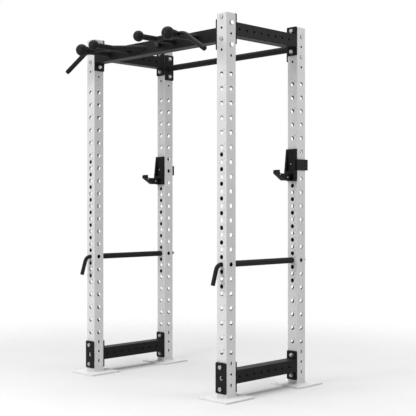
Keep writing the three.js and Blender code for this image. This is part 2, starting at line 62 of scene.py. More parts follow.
HOLE_R = 0.0125
HOLE_PITCH = 0.080
HOLE_FIRST_Z = 0.258
HOLE_COUNT = 20
FINE_FIRST_Z = 0.618
FINE_COUNT = 10
SPARE_HOLE_R = 0.007
SPARE_SLOT_SIZE = (0.010, 0.021)
SLOT_OFFSETS = (-0.040, 0.080)
SLOT_END_TRIM = 1e-5
SPARE_HOLE_RISE = 0.020
MARK_X = 0.019
MARK_SIZE = (0.0085, 0.0026)
MARK_RISES = (0.0155, 0.0198)
MARK_DEPTH = 0.0004
MARK_SHORT = 0.75
MARK_SECOND = 0.7
MARK_CORNER = 0.4 * MARK_SIZE[1]
MARK_PROUD = 0.3 * MARK_DEPTH
MARK_EDGE = 0.1 * MARK_DEPTH

PLATE_THICK = 0.008
PLATE_CORNER = 0.007
PLATE_EDGE = 0.0009
PLATE_EYE_R = 0.013
INTO_PLATE = 0.0004
FOOT_CORNER = 0.006
FOOT_EDGE = 0.0012
ANCHOR_OFFSET = 0.086
ANCHOR_HOLE_R = 0.007

BEAM_WIDTH = 0.0744
BEAM_HEIGHT = 0.075
BEAM_CORNER = 0.0045
BEAM_HOLE_R = 0.0065
BEAM_HOLE_PITCH = 0.060
BEAM_HOLE_COUNT = 8
BEAM_HOLE_FIRST_Y = -0.232
REAR_BAR_R = 0.020
REAR_BAR_DROP = 0.004
REAR_BAR_EYE_R = 0.010

BOLT_SPACING = 0.120
BOLT_HOLE_R = 0.0066
CAD_HEAD_HEIGHT = 0.009
HEAD_R = 0.0131
HEAD_HEIGHT = 0.0085
HEAD_GAP = 0.0006
NECK_R = HEAD_R * 0.80
NECK_HEIGHT = 0.0010
NUT_R = 0.011
NUT_HEIGHT = 0.010
NUT_GAP = 0.0002
HEX_CHAMFER = 0.10
HEX_FACE = 0.97
SHANK_R = 0.006
SHANK_INTO_HEAD = 0.0005
SHANK_POINT_R = SHANK_R * 0.8
THREAD_PITCH = 0.00175
THREAD_LENGTH = 0.018
THREAD_START = 0.020
THREAD_ROOT = 0.86
WASHER_R = 0.0123
WASHER_THICK = 0.0012

BEAD_R = 0.0030
BEAD_RIPPLE = 0.10
BEAD_PITCH = 0.0045
BEAD_STEPS = 5
BEAD_SIDES = 10
BEAD_LIFT = BEAD_R * 0.2
FOOT_BEAD_R = BEAD_R * 1.3
FOOT_BEAD_LIFT = BEAD_R * 0.3
ARM_BEAD_SIDES = 44
BAR_BEAD_SIDES = 40

GRIP_R = 0.014
GRIP_RIM = 0.0015
PLUG_R = GRIP_R - 0.0004
PLUG_SINK = 0.0035
PLUG_SPAN = (-0.002, 0.0045)
PLUG_RIM = 0.003
GRIP_BEND_TRIM = 0.032
GRIP_ROOT_X = 0.057
GRIP_CROSS_RUN = 0.1408
GRIP_BEND = Vector((0.432, -0.1428, 0.004))
GRIP_TIP = Vector((0.610, -0.1588, -0.105))
GRIP_INTO_BEAM = 0.015
ARM_INTO_BEAM = 0.002
INNER_ARM_R = 0.016
OUTER_ARM_R = 0.0195
OUTER_NECK_R = 0.0255
OUTER_NECK_LENGTH = 0.052
BALL_SINK = 0.008
BALL_COLLAR = 0.0015
BALL_STEPS = 28
ARM_RIM = 0.001
NECK_STEPS = 12
HIDDEN_RIM = 0.0005

PIN_R = 0.012
PIN_BEND_R = 0.045
PIN_BEND = math.radians(73)
PIN_STRAIGHT = 0.083
PIN_NOSE_LENGTH = 0.015
PIN_NOSE_R = 0.005
PIN_NOSE_BASE_R = PIN_R - 0.0003
PIN_NOSE_EDGE = 0.0008
PIN_NOSE_SINK = 0.004
PIPE_WALL = 0.004
PIPE_EDGE = 0.0008

CUP_PIVOT_Z = 1.378
CUP_PIN_LENGTH = 0.073
CUP_PIN_RIM = 0.002
CUP_GAP = 0.0005
CUP_STRAP_LOW_Z = 1.269
CUP_STRAP_HIGH_Z = 1.333
CUP_SEAT_Z = 1.248
CUP_CORNER = 0.005
CUP_EDGE = 0.001
STRAP_GAP = 0.001
STRAP_LAP = 0.010
STRAP_BEND = 0.0025
FLANGE_GAP = 0.005
HOOK_WIDTH = 0.032
HOOK_INTO_PLATE = 0.001
HOOK_HEEL_RUN = 0.066
HOOK_HEEL_LAG = 0.003
HOOK_TOE_RISE = 0.0045
HOOK_FLOOR_RISE = 0.002
HOOK_SLOPE_RISE = 0.039
HOOK_LIP_RISE = 0.058
HOOK_BEND = 0.0022
HOOK_EDGE = 0.0008
LINER_WIDTH = 0.075
LINER_PAD_THICK = 0.0027
LINER_TOP_THICK = 0.003
LINER_FOOT_THICK = 0.021
LINER_GAP = 0.0003
LINER_BEND = 0.0012
LINER_EDGE = 0.0009
RECESS_WIDTH = 0.046
RECESS_LOW_Z = 1.264
RECESS_LAP = 0.0012
RECESS_EDGE = 0.0005
SEAT_LIP_RISE = 0.020
SEAT_LIP_THICK = 0.0167
SEAT_SLANT = (0.009, 0.005)
SEAT_TOE_RISE = 0.0048
SEAT_HEEL_RUN = 0.0695
SEAT_GAP = 0.001
SEAT_BEND = 0.0025
SEAT_EDGE = 0.0012
SCREW_FACE_Z = 1.306
HOOK_SCREWS = (("root", 0.094, 1.226), ("lip", 0.027, 1.242))
SCREW_R = 0.0042
SCREW_HEIGHT = 0.0024
SCREW_SINK = 0.001
SCREW_SOCKET = [(0.0016, 0.0022), (0.0015, 0.0008), (0, 0.0006)]

FLOOR_RADIUS = 7.0
FLOOR_SOLID_RADIUS = 1.0
FLOOR_FADE_RADIUS = 3.4
FLOOR_TONES = [(0.3, (0.66, 0.66, 0.66)), (0.7, (0.68, 0.68, 0.68))]
WORLD_LIGHT = 0.20
BACKDROP = 1.0
WHITE_LIGHT = (1, 1, 1, 1)
LIGHT_TARGET = (0, 0, 1.2)
AREA_LIGHTS = (("key", (0.0, -3.3, 2.3), 2.6, 80), ("side", (2.5, 0.8, 2.2), 1.8, 24))
SUN_DIRECTION = (0.12, 0.05, -1)
SUN_STRENGTH = 2.55
SUN_ANGLE = math.radians(50)
CAMERA_AT = (4.08648, -3.82086, 1.04609)
CAMERA_HEADING = math.atan2(0.70846, 0.70575)
CAMERA_LENS = 79.72
CAMERA_SENSOR = 36
CAMERA_REACH = 60

ROUND_SIDES = 48
HOLE_SIDES = 32
SMALL_SIDES = 24
BOLT_SIDES = 20
SHARP_ANGLE = math.radians(40)
WELD_DISTANCE = 1e-6
MEET_DISTANCE = 1e-8
FLAT_WEIGHT = 90
TUBE_CORNER_STEPS = 8
RIM_STEPS = 5
PIN_BEND_STEPS = 16
CUP_BEND_STEPS = 4
SEAT_BEND_STEPS = 5
HERE = Matrix.Identity(4)
ALONG_Y = Matrix.Rotation(math.pi / 2, 4, "X")

RACK = "rack"
PAINT = "white_powder_coat"
COAT = "black_powder_coat"
STEEL = "zinc_plated_steel"
SIDES = (("left", -1), ("right", 1))
ENDS = ("front", "rear")


def centre_of(node):
    low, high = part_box(node)
    return (low + high) / 2


def size_of(node):
    low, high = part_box(node)
    return high - low


# ---- flat outlines

def circle(centre, radius, sides=HOLE_SIDES):
    turn = 2 * math.pi / sides
    return [
        Vector((centre[0] + radius * math.cos(k * turn), centre[1] + radius * math.sin(k * turn)))
        for k in range(sides)
    ]


def column(heights, radius, sides=HOLE_SIDES):
    return [circle((0, z), radius, sides) for z in heights]


def rounded(corners, radius, steps=6):
    """The closed polygon with an arc of that radius at each corner."""
    points = []
    for i, corner in enumerate(corners):
        here = Vector(corner)
        back = (Vector(corners[i - 1]) - here).normalized()
        onward = (Vector(corners[(i + 1) % len(corners)]) - here).normalized()
        half = back.angle(onward) / 2
        middle = here + (back + onward).normalized() * radius / math.sin(half)
        start = here + back * radius / math.tan(half) - middle
        end = here + onward * radius / math.tan(half) - middle
        first = math.atan2(start.y, start.x)
        swing = math.atan2(start.x * end.y - start.y * end.x, start.dot(end))
        for k in range(steps + 1):
            angle = first + swing * k / steps
            points.append(middle + radius * Vector((math.cos(angle), math.sin(angle))))
    return points


def four_corners(x, y):
    return [(x, y), (-x, y), (-x, -y), (x, -y)]


def rectangle(width, height, radius, centre=(0, 0)):
    corners = four_corners(-width / 2, -height / 2)
    return rounded([(centre[0] + a, centre[1] + b) for a, b in corners], radius)


def signed_area(loop):
    return sum(a.x * b.y - a.y * b.x for a, b in zip(loop, loop[1:] + loop[:1])) / 2


def turned(loop, counterclockwise):
    return loop if (signed_area(loop) > 0) == counterclockwise else loop[::-1]


def shifted(loop, distance):
    """Each point moved to the left of its loop's direction, which is where the material is."""
    moved = []
    for i, point in enumerate(loop):
        along = (loop[(i + 1) % len(loop)] - loop[i - 1]).normalized()
        moved.append(point + distance * Vector((-along.y, along.x)))
    return moved


# ---- mesh building

def edge_levels(thickness, edge, steps=3):
    """(inset, depth) of a rounded edge, from the front face over the wall to the back face."""
    front = [(edge * (1 - math.sin(a)), edge * (1 - math.cos(a))) for a in quarter_turn(steps)]
    return front + [(inset, thickness - depth) for inset, depth in reversed(front)]


def quarter_turn(steps):
    return [k * math.pi / 2 / steps for k in range(steps + 1)]


def join_rings(bm, one, other):
    for i in range(len(one)):
        j = (i + 1) % len(one)
        bm.faces.new((one[i], one[j], other[j], other[i]))


def join_all(bm, rings):
    for one, other in zip(rings, rings[1:]):
        join_rings(bm, one, other)


def cap_both(bm, rings):
    bm.faces.new(rings[0])
    bm.faces.new(rings[-1])


def inside(points, loops):
    """For each point, whether it lies in an odd number of the loops."""
    starts = np.array([p for loop in loops for p in loop])
    ends = np.array([p for loop in loops for p in loop[1:] + loop[:1]])
    x, y = points[:, :1], points[:, 1:]
    spans = (starts[:, 1] > y) != (ends[:, 1] > y)
    rise = np.where(ends[:, 1] == starts[:, 1], 1, ends[:, 1] - starts[:, 1])
    crossing = starts[:, 0] + (y - starts[:, 1]) / rise * (ends[:, 0] - starts[:, 0])
    return np.sum(spans & (x < crossing), axis=1) % 2 == 1


def fill(bm, loops, rings, paint=0):
    """Flat face between the rings of vertices, whose places in the face's plane are the loops.
    `paint` is the index of its material."""
    points = [p for loop in loops for p in loop]
    verts = [v for ring in rings for v in ring]
    edges = []
    for loop in loops:
        first = len(edges)
        edges += [(first + i, first + (i + 1) % len(loop)) for i in range(len(loop))]
    made, _, triangles, origins, _, _ = delaunay_2d_cdt(points, edges, [], 0, MEET_DISTANCE)
    flat = np.array([[tuple(made[i]) for i in triangle] for triangle in triangles])
    for triangle, kept in zip(triangles, inside(flat.mean(axis=1), loops)):
        if kept:
            bm.faces.new([verts[origins[i][0]] for i in triangle]).material_index = paint


def add_ring(bm, loop, depth, place):
    return [bm.verts.new(place @ Vector((p[0], p[1], -depth))) for p in loop]


def add_wall(bm, loop, levels, place):
    """Wall of one loop through every level. Returns its first and last loops and their rings."""
    loops = [shifted(loop, inset) for inset, _ in levels]
    rings = [add_ring(bm, at, depth, place) for at, (_, depth) in zip(loops, levels)]
    join_all(bm, rings)
    return (loops[0], rings[0]), (loops[-1], rings[-1])


def fill_between(bm, borders, paint=0):
    """Flat face bounded by (loop, ring) pairs, the first outside and the others its holes."""
    fill(bm, [loop for loop, _ in borders], [ring for _, ring in borders], paint)


def add_plate(bm, outline, holes, thickness, edge, place):
    """Plate with rounded edges: its front face at z = 0 of `place`, its back at -thickness."""
    levels = edge_levels(thickness, edge)
    loops = [turned(outline, True)] + [turned(hole, False) for hole in holes]
    walls = [add_wall(bm, loop, levels, place) for loop in loops]
    for face in (0, 1):
        fill_between(bm, [wall[face] for wall in walls])


def facing(origin, across, up):
    """Frame whose x is `across`, whose y is `up`, and whose z points out of the face."""
    x, y = Vector(across).normalized(), Vector(up).normalized()
    z = x.cross(y)
    matrix = Matrix((x, y, z)).transposed().to_4x4()
    matrix.translation = Vector(origin)
    return matrix


def facing_front(x, y, z):
    """Frame whose z axis points forward, along -Y."""
    return facing((x, y, z), (1, 0, 0), (0, 0, 1))


def add_tube(bm, width, depth, corner, low, high, x_holes, y_holes, place, inner_paint=0):
    """Hollow box section along z from low to high. x_holes are loops cut through both faces
    that look along x, and y_holes through both that look along y."""
    levels = edge_levels(TUBE_WALL, TUBE_EDGE, 2)
    spans = ((width, depth, x_holes), (depth, width, y_holes))
    for quarter in range(4):
        out, across, holes = spans[quarter % 2]
        turn = place @ Matrix.Rotation(quarter * math.pi / 2, 4, "Z")
        side = turn @ facing((out / 2, 0, 0), (0, 1, 0), (0, 0, 1))
        flat = across / 2 - corner
        inner = across / 2 - TUBE_WALL
        walls = [add_wall(bm, turned(loop, False), levels, side) for loop in holes]
        faces = ((flat, 0, 0, 0), (inner, TUBE_WALL, 1, inner_paint))
        for reach, sink, face, paint in faces:
            border = [Vector(p) for p in ((-reach, low), (reach, low), (reach, high), (-reach, high))]
            edge = (border, add_ring(bm, border, sink, side))
            fill_between(bm, [edge] + [wall[face] for wall in walls], paint)
        middle = Vector((out / 2 - corner, flat, 0))
        steps = TUBE_CORNER_STEPS
        arc = [middle + corner * Vector((math.cos(a), math.sin(a), 0)) for a in quarter_turn(steps)]
        strips = [[bm.verts.new(turn @ (p + Vector((0, 0, z)))) for p in arc] for z in (low, high)]
        for k in range(steps):
            bm.faces.new((strips[0][k], strips[0][k + 1], strips[1][k + 1], strips[1][k]))
    outer_loop = tube_outline(width, depth, corner)
    inner_loop = [Vector(p) for p in four_corners(width / 2 - TUBE_WALL, depth / 2 - TUBE_WALL)]
    for z in (low, high):
        fill_between(bm, [(loop, add_ring(bm, loop, -z, place)) for loop in (outer_loop, inner_loop)])


def tube_outline(width, depth, corner):
    return rounded(four_corners(width / 2, depth / 2), corner, TUBE_CORNER_STEPS)


def add_circle(bm, radius, z, place, sides):
    return [bm.verts.new(place @ Vector((p.x, p.y, z))) for p in circle((0, 0), radius, sides)]


def add_lathe(bm, profile, place, sides=ROUND_SIDES):
    """Solid of revolution about z. The profile is (radius, z) and starts and ends on the axis."""
    rings = [add_circle(bm, radius, z, place, sides) for radius, z in profile[1:-1]]
    join_all(bm, rings)
    for ring, z in ((rings[0], profile[0][1]), (rings[-1], profile[-1][1])):
        pole = bm.verts.new(place @ Vector((0, 0, z)))
        for i, vert in enumerate(ring):
            bm.faces.new((vert, ring[(i + 1) % sides], pole))


def add_ring_lathe(bm, profile, place):
    """Solid of revolution about z whose (radius, z) profile closes on itself."""
    rings = [add_circle(bm, radius, z, place, ROUND_SIDES) for radius, z in profile]
    for one, other in zip(rings, rings[1:] + rings[:1]):
        join_rings(bm, one, other)


def arc_profile(radius, edge, z, outward):
    """(radius, z) points of a rounded rim at height z. `outward` is 1 at a top and -1 at a foot."""
    points = [
        (radius - edge * (1 - math.cos(a)), z - outward * edge * (1 - math.sin(a)))
        for a in quarter_turn(RIM_STEPS)
    ]
    return points if outward > 0 else points[::-1]


def rod_profile(radius, low, high, low_edge, high_edge):
    return (
        [(0, low)] + arc_profile(radius, low_edge, low, -1)
        + arc_profile(radius, high_edge, high, 1) + [(0, high)]
    )


def bent_path(points, trim, steps=10):
    """The open polyline with each corner turned into a smooth bend that starts `trim` before it."""
    path = [Vector(points[0])]
    for before, corner, after in zip(points, points[1:], points[2:]):
        corner = Vector(corner)
        start = corner + (Vector(before) - corner).normalized() * trim
        end = corner + (Vector(after) - corner).normalized() * trim
        for k in range(steps + 1):
            t = k / steps
            path.append((1 - t) ** 2 * start + 2 * t * (1 - t) * corner + t ** 2 * end)
    path.append(Vector(points[-1]))
    return path


def sweep_rings(bm, path, radii, sides, closed):
    """Round rings along the path, each turned as little as possible from the last."""
    count = len(path)
    rings = []
    side = None
    for i, point in enumerate(path):
        before = path[i - 1] if closed or i else point
        after = path[(i + 1) % count] if closed or i < count - 1 else point
        along = (after - before).normalized()
        side = side if side else along.orthogonal()
        side = (side - along * side.dot(along)).normalized()
        other = along.cross(side)
        rings.append([
            bm.verts.new(point + side * p.x + other * p.y) for p in circle((0, 0), radii[i], sides)])
    return rings


def add_sweep(bm, path, radius, edge):
    """Round bar along the path, with rims rounded by `edge` at both ends."""
    first, last = (path[0] - path[1]).normalized(), (path[-1] - path[-2]).normalized()
    rim = [(radius - edge * (1 - math.cos(a)), edge * math.sin(a)) for a in quarter_turn(RIM_STEPS)]
    points = [path[0] + first * (out - edge) for _, out in reversed(rim)] + path[1:-1]
    points += [path[-1] + last * (out - edge) for _, out in rim]
    rim_radii = [r for r, _ in rim]
    radii = rim_radii[::-1] + [radius] * (len(path) - 2) + rim_radii
    rings = sweep_rings(bm, points, radii, ROUND_SIDES, False)
    join_all(bm, rings)
    cap_both(bm, rings)


def add_bead(bm, corners, radius=BEAD_R, closed=True):
    """Weld bead along a line of points, with the ripples that a torch leaves."""
    points, lengths = [], []
    run = 0.0
    spacing = BEAD_PITCH / BEAD_STEPS
    ends = corners[1:] + (corners[:1] if closed else [])
    for a, b in zip(corners, ends):
        count = max(1, round((b - a).length / spacing))
        for k in range(count):
            points.append(a.lerp(b, k / count))
            lengths.append(run + (b - a).length * k / count)
        run += (b - a).length
    ripples = round(run / BEAD_PITCH)
    radii = [
        radius * (1 + BEAD_RIPPLE * math.sin(2 * math.pi * ripples * at / run)) for at in lengths]
    rings = sweep_rings(bm, points, radii, BEAD_SIDES, closed)
    join_all(bm, rings)
    if closed:
        close_twisted(bm, rings[-1], rings[0])
    else:
        cap_both(bm, rings)


def close_twisted(bm, last, first):
    """Joins a sweep's last ring to its first, which may have turned a few steps between them."""
    sides = len(first)
    turn = min(range(sides), key=lambda k: (first[k].co - last[0].co).length)
    for i in range(sides):
        j = (i + 1) % sides
        bm.faces.new((last[i], last[j], first[(j + turn) % sides], first[(i + turn) % sides]))


def to_mesh(bm, name, *materials):
    """Welds, orients and shades the mesh: corners over SHARP_ANGLE stay sharp."""
    bmesh.ops.remove_doubles(bm, verts=bm.verts, dist=WELD_DISTANCE)
    bmesh.ops.recalc_face_normals(bm, faces=bm.faces)
    for face in bm.faces:
        face.smooth = True
    for edge in bm.edges:
        if len(edge.link_faces) == 2 and edge.calc_face_angle() > SHARP_ANGLE:
            edge.smooth = False
    mesh = bpy.data.meshes.new(name)
    bm.to_mesh(mesh)
    bm.free()
    for material in materials:
        mesh.materials.append(material)
    return mesh


def lathe_mesh(name, profile, material, sides):
    bm = bmesh.new()
    add_lathe(bm, profile, HERE, sides)
    return to_mesh(bm, name, material)


def add_object(name, data):
    made = bpy.data.objects.new(name, data)
    bpy.context.scene.collection.objects.link(made)
    return made


def put(mesh, name, body, slot, *replaced, place=None):
    """Shows the mesh as one piece on a body, in place of the CAD nodes that it stands for."""
    piece = add_object(name, mesh)
    if place is not None:
        piece.matrix_world = place
    normals = piece.modifiers.new("even_flats", "WEIGHTED_NORMAL")
    normals.keep_sharp = True
    normals.weight = FLAT_WEIGHT
    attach(piece, body)
    if replaced:
        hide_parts(*replaced)
    return piece


# ---- materials

class Shader:
    """Small helper that builds one node material."""

    def __init__(self, name):
        self.material = bpy.data.materials.new(name)
        self.material.use_nodes = True
        self.tree = self.material.node_tree
        self.surface = self.tree.nodes["Principled BSDF"]
        self.coordinates = self.tree.nodes.new("ShaderNodeTexCoord").outputs["Object"]

    def node(self, kind, inputs=None, **settings):
        made = self.tree.nodes.new(kind)
        for key, value in settings.items():
            setattr(made, key, value)
        for key, value in (inputs or {}).items():
            made.inputs[key].default_value = value
        return made

    def link(self, source, target):
        self.tree.links.new(source, target)

    def set(self, **values):
        for key, value in values.items():
            self.surface.inputs[key.replace("_", " ")].default_value = value

    def noise(self, scale, detail=3.0, roughness=0.55, stretch=None):
        place = self.coordinates
        if stretch:
            mapping = self.node("ShaderNodeMapping", {"Scale": stretch})
            self.link(place, mapping.inputs["Vector"])
            place = mapping.outputs["Vector"]
        made = self.node(
            "ShaderNodeTexNoise", {"Scale": scale, "Detail": detail, "Roughness": roughness})
        self.link(place, made.inputs["Vector"])
        return made.outputs["Fac"]

    def ramp(self, source, stops):
        made = self.node("ShaderNodeValToRGB")
        for element, (position, colour) in zip(made.color_ramp.elements, stops):
            element.position = position
            element.color = (*colour, 1)
        self.link(source, made.inputs["Fac"])
        return made.outputs["Color"]

    def spread(self, source, low, high):
        made = self.node("ShaderNodeMapRange", {"To Min": low, "To Max": high})
        self.link(source, made.inputs["Value"])
        return made.outputs["Result"]

    def bump(self, source, strength, distance, under=None):
        made = self.node("ShaderNodeBump", {"Strength": strength, "Distance": distance})
        self.link(source, made.inputs["Height"])
        if under:
            self.link(under, made.inputs["Normal"])
        return made.outputs["Normal"]


def finish(name, tone, rough, bumps=(), **values):
    """One node material. `tone` is the scale and detail of the noise that clouds the colour, and the
    two stops of its ramp. `rough` is the scale of the noise in the roughness, and its range. Each of
    `bumps` is a noise, its strength and its depth, laid over the one before."""
    shader = Shader(name)
    scale, detail, *stops = tone
    shader.link(shader.ramp(shader.noise(scale, detail), stops), shader.surface.inputs["Base Color"])
    scale, low, high = rough
    shader.link(shader.spread(shader.noise(scale), low, high), shader.surface.inputs["Roughness"])
    normal = None
    for noise, strength, distance in bumps:
        normal = shader.bump(shader.noise(*noise), strength, distance, normal)
    if normal:
        shader.link(normal, shader.surface.inputs["Normal"])
    shader.set(**values)
    return shader.material


# Satin powder coat: fine orange peel, and a hardly visible unevenness of tone.
WHITE = finish(
    "white_powder_coat",
    tone=(7.0, 4.0, (0.3, (0.69, 0.69, 0.687)), (0.7, (0.73, 0.73, 0.728))),
    rough=(60.0, 0.42, 0.56),
    bumps=(((420.0, 2.0), 0.16, 0.0004), ((1600.0, 2.0), 0.10, 0.0001)),
    Specular_IOR_Level=0.35,
)
# Matte powder coat with a fine sandy texture and slightly uneven gloss.
BLACK = finish(
    "black_powder_coat",
    tone=(9.0, 5.0, (0.3, (0.0065, 0.0065, 0.0068)), (0.72, (0.010, 0.010, 0.0104))),
    rough=(45.0, 0.46, 0.62),
    bumps=(((1100.0, 3.0, 0.7), 0.30, 0.00025), ((260.0, 2.0), 0.10, 0.0004)),
    Specular_IOR_Level=0.12,
)
# Bright zinc: metallic, a little cloudy, with faint machining lines along z.
ZINC = finish(
    "zinc_plate",
    tone=(160.0, 4.0, (0.3, (0.34, 0.35, 0.36)), (0.7, (0.50, 0.51, 0.52))),
    rough=(500.0, 0.26, 0.42),
    bumps=(((900.0, 3.0, 0.5, (1.0, 1.0, 0.08)), 0.08, 0.0001),),
    Metallic=1.0,
)
# Moulded plastic of the J-cups, with a spark-eroded grain.
BLACK_PLASTIC = finish(
    "black_plastic",
    tone=(25.0, 3.0, (0.3, (0.003, 0.003, 0.0032)), (0.7, (0.005, 0.005, 0.0052))),
    rough=(80.0, 0.34, 0.5),
    bumps=(((1500.0, 2.0), 0.22, 0.00015),),
    Specular_IOR_Level=0.1,
)
# Moulded plastic of the end caps, slightly warmer than the paint.
WHITE_PLASTIC = finish(
    "white_plastic",
    tone=(30.0, 3.0, (0.3, (0.70, 0.70, 0.69)), (0.7, (0.74, 0.74, 0.73))),
    rough=(90.0, 0.32, 0.44),
    bumps=(((1300.0, 2.0), 0.12, 0.00012),),
)
# Inside of the posts, painted near-black: painted shade inside the closed tube, so that the holes look
# dark.
POST_INSIDE_SHADE = finish(
    "post_inside_shade",
    tone=(40.0, 4.0, (0.3, (0.012, 0.012, 0.013)), (0.7, (0.030, 0.029, 0.028))),
    rough=(120.0, 0.5, 0.7),
    Specular_IOR_Level=0.2,
)
# Index marks: the paint burnt to a dull grey.
ETCHED = finish(
    "etched_grey",
    tone=(900.0, 3.0, (0.3, (0.16, 0.16, 0.16)), (0.7, (0.26, 0.26, 0.26))),
    rough=(700.0, 0.6, 0.8),
)


# ---- posts

def pitch_heights(first, count):
    return [first + k * HOLE_PITCH for k in range(count)]


def bolt_heights(middle):
    return [middle - BOLT_SPACING / 2, middle + BOLT_SPACING / 2]


END_PLATE_WIDTH = size_of("lower_side_beam_left").x
END_PLATE_HEIGHT = size_of("lower_side_beam_left").z
LOWER_BEAM_Z = centre_of("lower_side_beam_left").z
UPPER_BEAM_Z = centre_of("upper_side_beam_left").z
CROSS_Z = centre_of("front_beam").z


def upright_mesh():
    """Perforated tube about its own centre line, at its real height over the floor."""
    low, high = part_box("upright_front_left")
    width = high.x - low.x
    grid = column(pitch_heights(HOLE_FIRST_Z, HOLE_COUNT), HOLE_R)
    fine = column(pitch_heights(FINE_FIRST_Z, FINE_COUNT), HOLE_R)
    y_bolts = bolt_heights(LOWER_BEAM_Z) + bolt_heights(UPPER_BEAM_Z)
    y_spare = [LOWER_BEAM_Z, UPPER_BEAM_Z, UPPER_BEAM_Z - BOLT_SPACING]
    x_spare = [LOWER_BEAM_Z + SPARE_HOLE_RISE, CROSS_Z, CROSS_Z - BOLT_SPACING]
    x_slots = [LOWER_BEAM_Z + offset for offset in SLOT_OFFSETS]
    slot_w, slot_h = SPARE_SLOT_SIZE
    x_holes = grid + column(bolt_heights(CROSS_Z), BOLT_HOLE_R, BOLT_SIDES)
    x_holes += column(x_spare, SPARE_HOLE_R, SMALL_SIDES)
    x_holes += [rectangle(slot_w, slot_h, slot_w / 2 - SLOT_END_TRIM, (0, z)) for z in x_slots]
    y_holes = grid + fine + column(y_bolts, BOLT_HOLE_R, BOLT_SIDES)
    y_holes += column(y_spare, SPARE_HOLE_R, SMALL_SIDES)
    bm = bmesh.new()
    # The inner faces take the second material, the painted shade inside the post.
    add_tube(bm, width, width, TUBE_CORNER, low.z, high.z, x_holes, y_holes, HERE, 1)
    outline = tube_outline(width, width, TUBE_CORNER)
    add_bead(bm, [Vector((p.x, p.y, low.z + FOOT_BEAD_LIFT)) for p in outline], FOOT_BEAD_R)
    return to_mesh(bm, "upright", WHITE, POST_INSIDE_SHADE)


def flat_mesh(name, node, corner, edge, top, holes, material):
    """Level plate over the size of a CAD node, with its upper face at `top`."""
    size = size_of(node)
    bm = bmesh.new()
    outline = rectangle(size.x, size.y, corner)
    add_plate(bm, outline, holes, size.z, edge, Matrix.Translation((0, 0, top)))
    return to_mesh(bm, name, material)


def foot_plate_mesh():
    node = "foot_plate_front_left"
    spots = [(a * ANCHOR_OFFSET, b * ANCHOR_OFFSET) for a in (-1, 1) for b in (-1, 1)]
    anchors = [circle(spot, ANCHOR_HOLE_R) for spot in spots]
    return flat_mesh("foot_plate", node, FOOT_CORNER, FOOT_EDGE, size_of(node).z, anchors, WHITE)


def end_cap_mesh():
    """Plug whose crown stands over the tube's rim."""
    node = "end_cap_front_left"
    return flat_mesh("end_cap", node, CAP_CORNER, CAP_EDGE, CAP_CROWN, [], WHITE_PLASTIC)


def mark_mesh():
    """Index ticks beside the holes of a face that looks along -Y: every fifth one is long."""
    width = size_of("upright_front_left").x
    heights = sorted(pitch_heights(HOLE_FIRST_Z, HOLE_COUNT) + pitch_heights(FINE_FIRST_Z, FINE_COUNT))
    bm = bmesh.new()
    long, tall = MARK_SIZE
    for k, z in enumerate(heights):
        length = long if k % 5 == 0 else MARK_SHORT * long
        for run, rise in zip((length, MARK_SECOND * length), MARK_RISES):
            place = facing_front(MARK_X, -width / 2 - MARK_PROUD, z + rise)
            add_plate(bm, rectangle(run, tall, MARK_CORNER), [], MARK_DEPTH, MARK_EDGE, place)
    return to_mesh(bm, "index_marks", ETCHED)


def build_posts():
    upright, foot, cap, marks = upright_mesh(), foot_plate_mesh(), end_cap_mesh(), mark_mesh()
    for end in ENDS:
        for side, _ in SIDES:
            corner = f"{end}_{side}"
            middle = centre_of(f"upright_{corner}")
            over = Matrix.Translation((middle.x, middle.y, 0))
            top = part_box(f"upright_{corner}")[1].z
            crown = Matrix.Translation((middle.x, middle.y, top))
            put(upright, f"post_{corner}", RACK, PAINT, f"upright_{corner}", place=over)
            put(marks, f"index_marks_{corner}", RACK, None, place=over)
            put(foot, f"foot_{corner}", RACK, PAINT, f"foot_plate_{corner}", place=over)
            put(cap, f"cap_{corner}", RACK, "white_plastic", f"end_cap_{corner}", place=crown)


# ---- beams and plates

def add_hex(bm, radius, low, high, place, hole_r=None):
    """Hex nut or head about z, with its corners turned down at both faces."""
    chamfer = radius * HEX_CHAMFER
    inner = radius * math.cos(math.pi / 6)
    levels = [(low, inner * HEX_FACE, True), (low + chamfer, radius, False),
              (high - chamfer, radius, False), (high, inner * HEX_FACE, True)]
    rings = []
    for z, r, round_ring in levels:
        ring = []
        for k in range(ROUND_SIDES):
            angle = 2 * math.pi * k / ROUND_SIDES
            flat = inner / math.cos((angle + math.pi / 6) % (math.pi / 3) - math.pi / 6)
            reach = r if round_ring else min(flat, r)
            point = Vector((reach * math.cos(angle), reach * math.sin(angle), z))
            ring.append(bm.verts.new(place @ point))
        rings.append(ring)
    join_all(bm, rings)
    if hole_r is None:
        cap_both(bm, rings)
        return
    bore = [add_circle(bm, hole_r, z, place, ROUND_SIDES) for z in (low, high)]
    join_rings(bm, bore[0], bore[1])
    join_rings(bm, rings[0], bore[0])
    join_rings(bm, rings[-1], bore[1])


def end_frames(reach):
    """Frames of the two outer end faces of a member that runs along Y about the origin."""
    return [facing((0, end * reach, 0), (-end, 0, 0), (0, 0, 1)) for end in (-1, 1)]


def plate_holes(eye_r):
    """The two bolt holes of a bolted plate, and the eye between them."""
    return column(bolt_heights(0), BOLT_HOLE_R, SMALL_SIDES) + [circle((0, 0), eye_r)]


def add_member_ends(bm, reach, eye_r):
    """End plates of a member that runs along Y about the origin, with their outer faces at +-reach."""
    outline = rectangle(END_PLATE_WIDTH, END_PLATE_HEIGHT, PLATE_CORNER)
    for place in end_frames(reach):
        add_plate(bm, outline, plate_holes(eye_r), PLATE_THICK, PLATE_EDGE, place)


